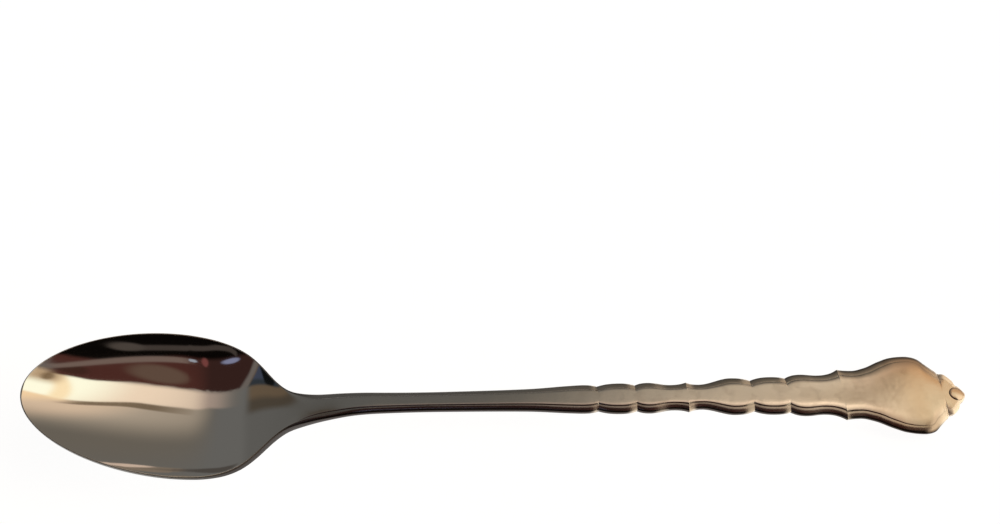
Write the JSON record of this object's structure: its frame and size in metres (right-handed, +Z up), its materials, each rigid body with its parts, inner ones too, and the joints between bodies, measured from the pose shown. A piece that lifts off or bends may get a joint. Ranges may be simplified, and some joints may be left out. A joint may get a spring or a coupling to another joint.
{
  "type": "iced tea spoon",
  "caption": "Long-handled drink spoon with an oval bowl, a slim stem and a flat handle with a raised scalloped border that widens to a pointed end.",
  "frame": {"origin": "on the table, under the middle of the spoon's length and width, with the spoon lying face up", "axes": "+X from the bowl to the tip of the handle, +Z up, the two halves mirror each other across Y = 0"},
  "size_m": [0.19, 0.0308, 0.0176],
  "materials": {
    "polished_steel": "mirror-polished stainless steel",
    "handle_steel": "worn satin stainless steel with a warm cast"
  },
  "bodies": {
    "root": {"bowl": "polished_steel", "neck": "handle_steel", "stem": "handle_steel", "scalloped_handle": "handle_steel", "handle_end": "handle_steel", "tip_drop": "handle_steel"}
  },
  "joints": []
}
